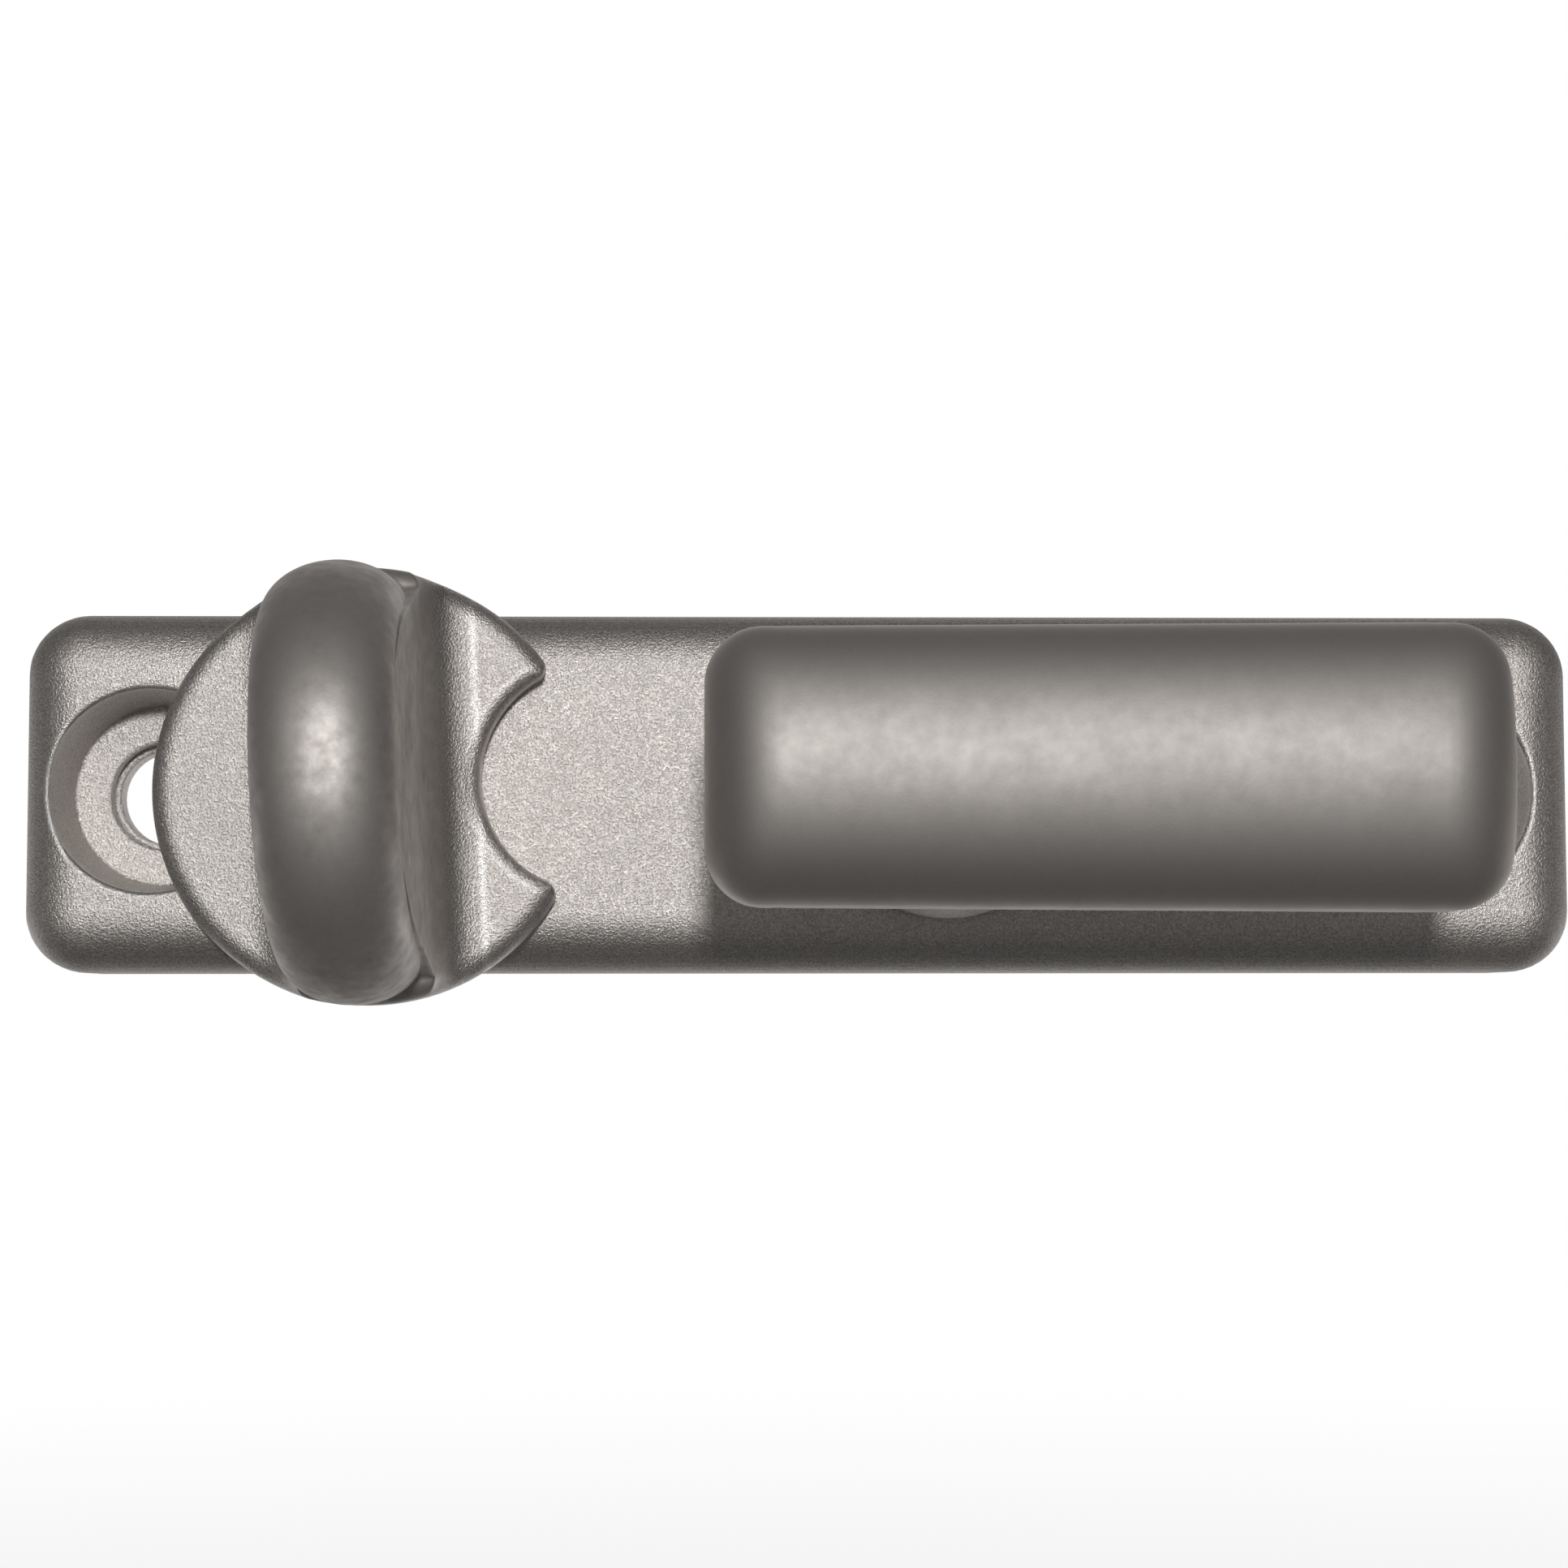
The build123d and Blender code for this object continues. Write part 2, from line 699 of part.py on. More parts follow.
with BuildPart() as turn_cross_pin:
    with BuildSketch(turn_along):
        with Locations((0, cross_pin_height)):
            Circle(cross_pin_radius)
            Circle(0.5 * cross_pin_radius, mode=Mode.SUBTRACT)
    extrude(amount=turn_journal_radius - 0.2, both=True)
save(turn_cross_pin, "turn_cross_pin")

turn_bush = make_flanged_bush(
    turn_front,
    turn_flange_radius,
    turn_low - plate_height - lift_gap,
    turn_bush_radius,
    turn_journal_radius + running_gap,
)
save(turn_bush, "turn_bush")

turn_washer_low = turn_clip_low + clip_thickness
turn_washer_high = turn_washer_low + turn_washer_thickness
turn_washer = make_ring(
    turn_front, turn_washer_radius, turn_journal_radius + running_gap, turn_washer_low, turn_washer_high
)
save(turn_washer, "turn_washer")
turn_disc_spring = make_disc_spring(
    turn_front,
    turn_washer_radius,
    turn_journal_radius + 4 * running_gap,
    turn_washer_high,
    cavity_depth - lift_gap,
    0.5,
)
save(turn_disc_spring, "turn_disc_spring")
save(
    make_circlip(turn_front, turn_groove_radius, turn_clip_radius, turn_clip_low, clip_thickness),
    "turn_circlip",
)

# Ball that clicks the thumb-turn, drawn at the height it has between two dimples
detent_ball_height = turn_low - lift_gap - detent_ball_radius
detent_ball_centre = turn_front.from_local_coords(Vector(0, -detent_radius, detent_ball_height))
save(make_ball(detent_ball_centre, detent_ball_radius), "turn_detent_ball")
detent_spring_start = turn_front.from_local_coords(
    Vector(0, -detent_radius, detent_bore_floor + spring_wire / 2)
)
detent_spring_length = detent_ball_height - 0.75 * detent_ball_radius - detent_bore_floor - spring_wire / 2
save(
    make_coil_spring(detent_spring_start, out, detent_spring_radius, detent_spring_length, 5),
    "turn_detent_spring",
)
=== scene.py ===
import math

import bpy
from mathutils import Matrix, Vector

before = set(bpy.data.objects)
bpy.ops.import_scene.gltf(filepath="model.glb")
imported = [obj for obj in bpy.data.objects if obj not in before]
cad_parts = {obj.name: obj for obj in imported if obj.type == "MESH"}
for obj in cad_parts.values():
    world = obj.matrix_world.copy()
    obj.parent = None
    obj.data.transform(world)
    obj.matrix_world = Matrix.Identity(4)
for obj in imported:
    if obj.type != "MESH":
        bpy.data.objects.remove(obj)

bl_info = {
    "name": "Door lock on a narrow plate",
    "version": (1, 0, 0),
    "blender": (4, 5, 0),
    "location": "3D Viewport > Sidebar > Door Lock",
    "description": "Finishes the lever, thumb-turn, plate and inner pieces of a door lock and sets its stage",
    "category": "Object",
}

# The photograph's frame is square, and the focal length is measured in its pixels
PHOTO_WIDTH = 1932
FOCAL_PIXELS = 3978.4
SENSOR_WIDTH = 36.0
CAMERA_PLACE = (-0.006324, -0.238643, -0.015583)
CAMERA_TILT_UP = -0.0701
CAMERA_TURN = 0.0222
CAMERA_ROLL = 0.0010

# Places on the lock in millimetres, along the plate from its centre or out from the mounting face
SCREW_PLACES = (-46.1, 44.9)
COUNTERBORE_RIM = 7.4
PLATE_FACE = 10.3
TURN_PIVOT_X = -30.45
TURN_REST_ANGLE = math.radians(2.75)
ACROSS_TURN = (math.cos(TURN_REST_ANGLE), 0.0, math.sin(TURN_REST_ANGLE))
DISC_FACE = 13.0

# Places on the thumb-turn in millimetres from its pivot
NOTCH_CENTRE = 15.85
NOTCH_RIM = 8.95
FLARE_FOOT = 7.8
# Place and width of the painted shade in the corner between the arch and the flare
PAINTED_SHADE_PLACE = 5.75
PAINTED_SHADE_WIDTH = 0.9

# Strength of the painted highlights at the flare's foot and at the notch, and how much wider the foot's line
# is
FOOT_HIGHLIGHT = 0.75
NOTCH_HIGHLIGHT = 0.4
FOOT_WIDENING = 1.4

# Heights in millimetres between which the speckled casting turns into the handled one
LEVER_HANDLED = (18.0, 26.0)
ARCH_HANDLED = (13.4, 15.0)

# How far a wall's normal may lean outward, between which it stops counting as steep
STEEP_WALLS = (0.05, 0.85)

# Share of the speckles left on a handled surface, and of the soft patches seen on a speckled one
HANDLED_SPECKLE = 0.06
SPECKLED_MOTTLE = 0.25

# Depth of the grain's relief in metres
CASTING_GRAIN = 0.000035
METAL_GRAIN = 0.00003

# Millimetres behind the lock over which the floor turns white in reflections
FLOOR_BEHIND = (60.0, 260.0)

# Millimetres away from the lock over which the floor turns all white, and its share of white before
FLOOR_FADE = (250.0, 900.0)
FLOOR_NEAR_WHITE = 0.86

# Directions behind the lock over which the background turns white in reflections
BACKGROUND_BEHIND = (0.6, 1.0)

# Brightness of the room level with the lock, and how much it gains straight up
ROOM_MIDDLE = 0.75
ROOM_RISE = 0.15


# Node tree helpers

def add_node(tree, kind, place, **inputs):
    """Add a node and set its plain input values by name."""
    node = tree.nodes.new(kind)
    node.location = place
    for name, value in inputs.items():
        node.inputs[name.replace("_", " ")].default_value = value
    return node


def feed(tree, socket, value):
    """Link an input to another node's output, or set it to a plain value."""
    if isinstance(value, bpy.types.NodeSocket):
        tree.links.new(value, socket)
    else:
        socket.default_value = value


def math_node(tree, operation, place, *values):
    """Add a maths node fed by sockets or plain numbers, and give its output socket."""
    node = tree.nodes.new("ShaderNodeMath")
    node.operation = operation
    node.location = place
    for socket, value in zip(node.inputs, values):
        feed(tree, socket, value)
    return node.outputs[0]


def vector_node(tree, operation, place, *values):
    """Add a vector maths node, and give the output socket that its operation fills."""
    node = tree.nodes.new("ShaderNodeVectorMath")
    node.operation = operation
    node.location = place
    for socket, value in zip(node.inputs, values):
        feed(tree, socket, value)
    return node.outputs["Value" if operation in ("DOT_PRODUCT", "LENGTH") else "Vector"]


def range_node(tree, place, value, from_low, from_high, to_low=0.0, to_high=1.0, smooth=False):
    """Map a value from one range to another, and give the output socket."""
    node = tree.nodes.new("ShaderNodeMapRange")
    node.location = place
    node.interpolation_type = "SMOOTHSTEP" if smooth else "LINEAR"
    for socket, each in zip(node.inputs, (value, from_low, from_high, to_low, to_high)):
        feed(tree, socket, each)
    return node.outputs["Result"]


def colour_mix(tree, place, factor, low, high):
    """Mix two colours, each a socket or a plain colour, and give the output socket."""
    node = tree.nodes.new("ShaderNodeMix")
    node.data_type = "RGBA"
    node.location = place
    feed(tree, node.inputs["Factor"], factor)
    for socket, value in ((node.inputs[6], low), (node.inputs[7], high)):
        feed(tree, socket, value if isinstance(value, bpy.types.NodeSocket) else (*value, 1.0))
    return node.outputs[2]


def combined(tree, place, value):
    """The same value three times over, as a colour."""
    node = add_node(tree, "ShaderNodeCombineColor", place)
    for socket in node.inputs:
        tree.links.new(value, socket)
    return node.outputs["Color"]


def new_group(name, inputs, outputs):
    """Empty node group with sockets given as (name, kind, default), and its entry and exit nodes."""
    group = bpy.data.node_groups.new(name, "ShaderNodeTree")
    for socket_name, kind, default in inputs:
        socket = group.interface.new_socket(socket_name, in_out="INPUT", socket_type=kind)
        socket.default_value = default
    for socket_name, kind in outputs:
        group.interface.new_socket(socket_name, in_out="OUTPUT", socket_type=kind)
    entry = add_node(group, "NodeGroupInput", (-1100, 0))
    leave = add_node(group, "NodeGroupOutput", (900, 0))
    return group, entry, leave


def place_in_millimetres(tree, place):
    """Position on the piece in millimetres, in the shared frame of the lock at rest."""
    where = add_node(tree, "ShaderNodeTexCoord", place).outputs["Object"]
    return vector_node(tree, "MULTIPLY", (place[0] + 180, place[1]), where, (1000, 1000, 1000))


# Effects shared by the materials

def build_sparkle_group():
    """Fine metallic grain: a brightness mask with painted glints, and a height, both at the grain's size."""
    group, entry, leave = new_group(
        "Fine sparkle",
        [("Grain size", "NodeSocketFloat", 0.15), ("Contrast", "NodeSocketFloat", 0.5)],
        [("Mask", "NodeSocketFloat"), ("Height", "NodeSocketFloat")],
    )
    where = place_in_millimetres(group, (-1100, -250))
    scale = math_node(group, "DIVIDE", (-850, 120), 1.0, entry.outputs["Grain size"])
    grain = add_node(group, "ShaderNodeTexNoise", (-600, 150), Detail=2.0, Roughness=0.65)
    flakes = add_node(group, "ShaderNodeTexVoronoi", (-600, -150))
    for texture in (grain, flakes):
        group.links.new(where, texture.inputs["Vector"])
        group.links.new(scale, texture.inputs["Scale"])
    spread = range_node(group, (-350, 150), grain.outputs["Fac"], 0.3, 0.7)
    # The few flakes that catch the light stand out from the even grain as painted glints
    glint = range_node(group, (-350, -150), flakes.outputs["Distance"], 0.0, 0.35, 1.0, 0.0)
    lit = math_node(group, "POWER", (-150, -150), glint, 2.0)
    together = math_node(group, "MULTIPLY_ADD", (50, 0), lit, 0.35, spread)
    centred = math_node(group, "SUBTRACT", (230, 0), together, 0.58)
    mask = math_node(group, "MULTIPLY_ADD", (420, 50), centred, entry.outputs["Contrast"], 0.5)
    group.links.new(mask, leave.inputs["Mask"])
    group.links.new(spread, leave.inputs["Height"])
    return group


def build_mottle_group():
    """Soft cloudy variation of a handled or cast surface."""
    group, entry, leave = new_group(
        "Soft mottle",
        [("Patch size", "NodeSocketFloat", 3.0), ("Strength", "NodeSocketFloat", 0.5)],
        [("Mask", "NodeSocketFloat")],
    )
    where = place_in_millimetres(group, (-1100, -250))
    scale = math_node(group, "DIVIDE", (-850, 120), 1.0, entry.outputs["Patch size"])
    cloud = add_node(group, "ShaderNodeTexNoise", (-600, 100), Detail=3.0, Roughness=0.55)
    group.links.new(where, cloud.inputs["Vector"])
    group.links.new(scale, cloud.inputs["Scale"])
    centred = math_node(group, "SUBTRACT", (-350, 100), cloud.outputs["Fac"], 0.5)
    mask = math_node(group, "MULTIPLY_ADD", (-150, 100), centred, entry.outputs["Strength"], 0.5)
    group.links.new(mask, leave.inputs["Mask"])
    return group


def build_height_group():
    """Mask that rises with the distance out from the mounting face, in millimetres."""
    group, entry, leave = new_group(
        "Height above the plate",
        [("Low", "NodeSocketFloat", 14.0), ("High", "NodeSocketFloat", 17.0)],
        [("Mask", "NodeSocketFloat")],
    )
    where = place_in_millimetres(group, (-1100, -250))
    height = vector_node(group, "DOT_PRODUCT", (-700, -200), where, (0.0, -1.0, 0.0))
    mask = range_node(group, (-450, 0), height, entry.outputs["Low"], entry.outputs["High"], smooth=True)
    group.links.new(mask, leave.inputs["Mask"])
    return group


def build_steep_group():
    """Mask of the walls that stand out from the plate, from how far their normal leans outward."""
    group, entry, leave = new_group(
        "Steep walls",
        [("Low", "NodeSocketFloat", 0.0), ("High", "NodeSocketFloat", 0.4)],
        [("Mask", "NodeSocketFloat")],
    )
    normal = add_node(group, "ShaderNodeTexCoord", (-900, -200)).outputs["Normal"]
    outward = vector_node(group, "DOT_PRODUCT", (-700, -200), normal, (0.0, -1.0, 0.0))
    low, high = entry.outputs["Low"], entry.outputs["High"]
    mask = range_node(group, (-450, 0), outward, low, high, 1.0, 0.0, smooth=True)
    group.links.new(mask, leave.inputs["Mask"])
    return group


def build_ring_mask_group():
    """Mask along a circle round an axis that points out of the plate, in millimetres."""
    group, entry, leave = new_group(
        "Ring mask",
        [
            ("Centre", "NodeSocketVector", (0.0, 0.0, 0.0)),
            ("Radius", "NodeSocketFloat", 7.0),
            ("Width", "NodeSocketFloat", 0.3),
        ],
        [("Mask", "NodeSocketFloat")],
    )
    where = place_in_millimetres(group, (-1100, -250))
    from_centre = vector_node(group, "SUBTRACT", (-700, 0), where, entry.outputs["Centre"])
    flat = vector_node(group, "MULTIPLY", (-500, 0), from_centre, (1.0, 0.0, 1.0))
    distance = vector_node(group, "LENGTH", (-300, 0), flat)
    off_ring = math_node(group, "SUBTRACT", (-100, 0), distance, entry.outputs["Radius"])
    away = math_node(group, "ABSOLUTE", (80, 0), off_ring)
    mask = range_node(group, (300, 0), away, 0.0, entry.outputs["Width"], 1.0, 0.0, smooth=True)
    group.links.new(mask, leave.inputs["Mask"])
    return group


def build_line_mask_group():
    """Mask along a straight line across the plate's face, in millimetres."""
    group, entry, leave = new_group(
        "Line mask",
        [
            ("Across", "NodeSocketVector", (1.0, 0.0, 0.0)),
            ("Place", "NodeSocketFloat", 0.0),
            ("Width", "NodeSocketFloat", 0.3),
        ],
        [("Mask", "NodeSocketFloat")],
    )
    where = place_in_millimetres(group, (-1100, -250))
    along = vector_node(group, "DOT_PRODUCT", (-600, 0), where, entry.outputs["Across"])
    off_line = math_node(group, "SUBTRACT", (-400, 0), along, entry.outputs["Place"])
    away = math_node(group, "ABSOLUTE", (-200, 0), off_line)
    mask = range_node(group, (0, 0), away, 0.0, entry.outputs["Width"], 1.0, 0.0, smooth=True)
    group.links.new(mask, leave.inputs["Mask"])
    return group


GROUP_BUILDERS = {
    "Fine sparkle": build_sparkle_group,
    "Soft mottle": build_mottle_group,
    "Height above the plate": build_height_group,
    "Steep walls": build_steep_group,
    "Ring mask": build_ring_mask_group,
    "Line mask": build_line_mask_group,
}


def effect(tree, name, place, **inputs):
    """Place a shared effect in a material, building its group the first time."""
    node = tree.nodes.new("ShaderNodeGroup")
    node.node_tree = bpy.data.node_groups.get(name) or GROUP_BUILDERS[name]()
    node.location = place
    for socket_name, value in inputs.items():
        node.inputs[socket_name.replace("_", " ")].default_value = value
    return node


def new_material(name):
    """Material with its node tree and its Principled shader."""
    material = bpy.data.materials.new(name)
    material.use_nodes = True
    return material, material.node_tree, material.node_tree.nodes["Principled BSDF"]


def casting_material(
    name, finish, handled=None, mottle=1.0, shade=1.0, painted_rim_reflection=1.0, add_painted_highlight=None, add_painted_shade=None
):
    """Satin casting with a speckle, or smoothed by hands above two heights, with painted reflections,
    highlights and shade.
    """
    material, tree, shader = new_material(name)
    shader.inputs["Metallic"].default_value = 1.0
    sparkle = effect(
        tree, "Fine sparkle", (-1300, 200), Grain_size=finish.grain_size, Contrast=finish.grain_contrast
    )
    coarse = effect(
        tree, "Soft mottle", (-1300, -50), Patch_size=finish.mottle_size, Strength=finish.mottle_strength
    )
    fine = effect(
        tree, "Soft mottle", (-1300, -300), Patch_size=0.3 * finish.mottle_size,
        Strength=finish.mottle_strength,
    )
    speckle_share, mottle_share, smooth = 1.0, SPECKLED_MOTTLE, finish.satin_roughness
    if handled:
        low, high = handled
        rubbed = effect(tree, "Height above the plate", (-1300, 500), Low=low, High=high).outputs["Mask"]
        speckle_share = range_node(tree, (-1050, 450), rubbed, 0.0, 1.0, 1.0, HANDLED_SPECKLE)
        mottle_share = range_node(tree, (-1050, 650), rubbed, 0.0, 1.0, SPECKLED_MOTTLE, mottle)
        smooth = range_node(tree, (-660, 500), rubbed, 0.0, 1.0, smooth, finish.handled_roughness)
    grain = math_node(tree, "SUBTRACT", (-1050, 250), sparkle.outputs["Mask"], 0.5)
    grain = math_node(tree, "MULTIPLY", (-860, 300), grain, speckle_share)
    cloud = math_node(tree, "ADD", (-1050, -100), coarse.outputs["Mask"], fine.outputs["Mask"])
    cloud = math_node(tree, "MULTIPLY_ADD", (-860, -100), cloud, 0.5, -0.5)
    cloud = math_node(tree, "MULTIPLY_ADD", (-760, -100), cloud, mottle_share, 0.5)
    tone = math_node(tree, "ADD", (-660, 200), grain, cloud)
    colour = colour_mix(tree, (-460, 250), tone, finish.satin_dark, finish.satin_light)
    if handled:
        # The handled metal is darker, and lighter again on its steep sides as a painted reflection
        low, high = STEEP_WALLS
        steep = effect(tree, "Steep walls", (-1300, 900), Low=low, High=high).outputs["Mask"]
        darker = range_node(tree, (-860, 700), rubbed, 0.0, 1.0, 1.0, shade)
        painted_reflection = range_node(tree, (-860, 950), steep, 0.0, 1.0, 1.0, painted_rim_reflection)
        gain = math_node(tree, "MULTIPLY", (-660, 800), darker, painted_reflection)
        colour = vector_node(tree, "MULTIPLY", (-380, 450), colour, combined(tree, (-560, 700), gain))
    change = finish.gloss_change
    streak = range_node(tree, (-660, -100), cloud, 0.3, 0.7, 1.0 + change, 1.0 - change)
    roughness = math_node(tree, "MULTIPLY", (-460, 0), smooth, streak)
    # Painted shade darkens the colour in the corner
    if add_painted_shade:
        colour = colour_mix(tree, (-300, 500), add_painted_shade(tree, finish), colour, finish.painted_shade_tone)
    # Painted highlights lighten the colour along edges, which are also a little smoother
    if add_painted_highlight:
        painted_highlight = add_painted_highlight(tree, finish)
        colour = colour_mix(tree, (-250, 250), painted_highlight, colour, finish.painted_highlight_tone)
        edge_smoothing = math_node(tree, "MULTIPLY", (-350, -150), painted_highlight, finish.highlight_gloss)
        roughness = math_node(tree, "SUBTRACT", (-250, 0), roughness, edge_smoothing)
    tree.links.new(colour, shader.inputs["Base Color"])
    tree.links.new(roughness, shader.inputs["Roughness"])
    height = math_node(tree, "MULTIPLY", (-660, -350), sparkle.outputs["Height"], speckle_share)
    relief = add_node(
        tree, "ShaderNodeBump", (-460, -350), Strength=finish.grain_relief, Distance=CASTING_GRAIN
    )
    tree.links.new(height, relief.inputs["Height"])
    # The casting's creases are soft
    soft = add_node(tree, "ShaderNodeBevel", (-660, -550), Radius=finish.crease_radius)
    soft.samples = 6
    tree.links.new(soft.outputs["Normal"], relief.inputs["Normal"])
    tree.links.new(relief.outputs["Normal"], shader.inputs["Normal"])
    return material


def counterbore_painted_highlight(tree, finish):
    """Painted highlights on the rims of the two counterbores."""
    rims = [
        effect(
            tree, "Ring mask", (-1300, -600 - 250 * index),
            Centre=(screw_x, 0.0, 0.0), Radius=COUNTERBORE_RIM, Width=finish.painted_highlight_width,
        ).outputs["Mask"]
        for index, screw_x in enumerate(SCREW_PLACES)
    ]
    # The same circle on the plate's back gets no painted highlight
    front = effect(
        tree, "Height above the plate", (-1300, -1100), Low=PLATE_FACE - 2.0, High=PLATE_FACE - 0.5
    ).outputs["Mask"]
    return math_node(tree, "MULTIPLY", (-860, -700), math_node(tree, "MAXIMUM", (-1050, -700), *rims), front)


def thumb_turn_painted_highlight(tree, finish):
    """Painted highlights: a bright line at the foot of the flare, and a fainter one along the notch's edge.
    """
    foot = effect(
        tree, "Line mask", (-1300, -600), Across=ACROSS_TURN,
        Place=TURN_PIVOT_X * ACROSS_TURN[0] + FLARE_FOOT, Width=FOOT_WIDENING * finish.painted_highlight_width,
    )
    notch = effect(
        tree, "Ring mask", (-1300, -850),
        Centre=(TURN_PIVOT_X + NOTCH_CENTRE * ACROSS_TURN[0], 0.0, NOTCH_CENTRE * ACROSS_TURN[2]),
        Radius=NOTCH_RIM, Width=finish.painted_highlight_width,
    )
    return math_node(
        tree, "MAXIMUM", (-1050, -700),
        math_node(tree, "MULTIPLY", (-1150, -650), foot.outputs["Mask"], FOOT_HIGHLIGHT),
        math_node(tree, "MULTIPLY", (-1150, -900), notch.outputs["Mask"], NOTCH_HIGHLIGHT),
    )


def thumb_turn_painted_shade(tree, finish):
    """Painted shade: a darker line in the corner between the arch's side and the flare."""
    corner = effect(
        tree, "Line mask", (-1300, -1100), Across=ACROSS_TURN,
        Place=TURN_PIVOT_X * ACROSS_TURN[0] + PAINTED_SHADE_PLACE, Width=PAINTED_SHADE_WIDTH,
    )
    raised = effect(
        tree, "Height above the plate", (-1300, -1350), Low=DISC_FACE - 0.1, High=DISC_FACE + 0.3
    )
    deep = math_node(tree, "MULTIPLY", (-1050, -1150), corner.outputs["Mask"], raised.outputs["Mask"])
    return math_node(tree, "MULTIPLY", (-860, -1150), deep, finish.painted_shade_depth)


def metal_material(name, light, dark, roughness, grain_size, contrast, mottle, relief_strength, metallic=1.0):
    """Machined or plated metal whose colour and roughness vary with a fine grain, painted glints and a soft
    mottle.
    """
    material, tree, shader = new_material(name)
    shader.inputs["Metallic"].default_value = metallic
    sparkle = effect(tree, "Fine sparkle", (-900, 200), Grain_size=grain_size, Contrast=contrast)
    cloud = effect(tree, "Soft mottle", (-900, -100), Patch_size=3.5, Strength=mottle)
    both = math_node(tree, "ADD", (-650, 100), sparkle.outputs["Mask"], cloud.outputs["Mask"])
    tone = math_node(tree, "MULTIPLY", (-480, 100), both, 0.5)
    tree.links.new(colour_mix(tree, (-280, 200), tone, dark, light), shader.inputs["Base Color"])
    gloss = range_node(tree, (-280, -50), tone, 0.0, 1.0, roughness * 1.15, roughness * 0.85)
    tree.links.new(gloss, shader.inputs["Roughness"])
    relief = add_node(tree, "ShaderNodeBump", (-280, -300), Strength=relief_strength, Distance=METAL_GRAIN)
    tree.links.new(sparkle.outputs["Height"], relief.inputs["Height"])
    tree.links.new(relief.outputs["Normal"], shader.inputs["Normal"])
    return material


def give(node_name, material):
    """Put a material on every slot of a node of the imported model."""
    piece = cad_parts.get(node_name)
    if piece is None:
        raise RuntimeError(f"the packed model has no piece named {node_name}")
    piece.data.materials.clear()
    piece.data.materials.append(material)


# Settings that a user would change

class LockFinish(bpy.types.PropertyGroup):
    """Colours, grain and gloss of the lock's castings."""

    satin_light: bpy.props.FloatVectorProperty(
        name="Satin light", description="Brighter tone of the satin castings", subtype="COLOR",
        default=(0.80, 0.755, 0.72), min=0.0, max=1.0,
    )
    satin_dark: bpy.props.FloatVectorProperty(
        name="Satin dark", description="Darker tone of the satin castings", subtype="COLOR",
        default=(0.44, 0.41, 0.385), min=0.0, max=1.0,
    )
    lever_shade: bpy.props.FloatProperty(
        name="Lever shade", description="How light the lever's grip is beside the speckled satin",
        default=0.73, min=0.0, max=2.0,
    )
    arch_shade: bpy.props.FloatProperty(
        name="Arch shade", description="How light the thumb-turn's arch is beside the speckled satin",
        default=0.86, min=0.0, max=2.0,
    )
    # Painted reflection that lightens the lever's steep sides
    lever_painted_reflection: bpy.props.FloatProperty(
        name="Lever painted reflection", description="How much lighter the lever's steep sides are",
        default=1.7, min=0.0, max=2.0,
    )
    # Painted reflection that lightens the thumb-turn's steep sides
    arch_painted_reflection: bpy.props.FloatProperty(
        name="Arch painted reflection", description="How much lighter the thumb-turn's steep sides are",
        default=1.2, min=0.0, max=2.0,
    )
    # Tone of the painted highlights on edges
    painted_highlight_tone: bpy.props.FloatVectorProperty(
        name="Painted highlight tone", description="Tone of edges worn bright", subtype="COLOR",
        default=(0.88, 0.85, 0.82), min=0.0, max=1.0,
    )
    satin_roughness: bpy.props.FloatProperty(
        name="Satin roughness", description="Roughness of the speckled satin finish",
        default=0.475, min=0.0, max=1.0, subtype="FACTOR",
    )
    handled_roughness: bpy.props.FloatProperty(
        name="Handled roughness", description="Roughness where hands have smoothed the satin",
        default=0.6, min=0.0, max=1.0, subtype="FACTOR",
    )
    gloss_change: bpy.props.FloatProperty(
        name="Gloss change", description="How much the roughness changes from patch to patch",
        default=0.08, min=0.0, max=1.0, subtype="FACTOR",
    )
    crease_radius: bpy.props.FloatProperty(
        name="Crease radius", description="Softness of the casting's creases and edges",
        default=0.0005, min=0.0, subtype="DISTANCE",
    )
    # Tone of the painted shade in the thumb-turn's corner
    painted_shade_tone: bpy.props.FloatVectorProperty(
        name="Painted shade tone", description="Tone of the grime in the thumb-turn's corner", subtype="COLOR",
        default=(0.1, 0.095, 0.09), min=0.0, max=1.0,
    )
    # How dark the painted shade in the thumb-turn's corner is
    painted_shade_depth: bpy.props.FloatProperty(
        name="Painted shade depth", description="How dark the grime in the thumb-turn's corner is",
        default=0.3, min=0.0, max=1.0, subtype="FACTOR",
    )
    # How much smoother the edges under the painted highlights are
    highlight_gloss: bpy.props.FloatProperty(
        name="Highlight gloss", description="How much smoother the worn edges are",
        default=0.06, min=0.0, max=1.0, subtype="FACTOR",
    )
    # Width of the painted highlights on edges in millimetres
    painted_highlight_width: bpy.props.FloatProperty(
        name="Painted highlight width", description="Width of the worn edges in millimetres",
        default=0.32, min=0.0, max=3.0,
    )
    grain_size: bpy.props.FloatProperty(
        name="Grain size", description="Size of the metallic grain in millimetres",
        default=0.16, min=0.02, max=2.0,
    )
    grain_contrast: bpy.props.FloatProperty(
        name="Grain contrast", description="How strongly the grain shows", default=1.0, min=0.0, max=4.0,
    )
    grain_relief: bpy.props.FloatProperty(
        name="Grain relief", description="How strongly the grain stands up", default=1.0, min=0.0, max=1.0,
        subtype="FACTOR",
    )
    mottle_size: bpy.props.FloatProperty(
        name="Mottle size", description="Size of the soft patches in millimetres",
        default=3.6, min=0.1, max=30.0,
    )
    mottle_strength: bpy.props.FloatProperty(
        name="Mottle strength", description="How strongly the soft patches show",
        default=0.9, min=0.0, max=4.0,
    )


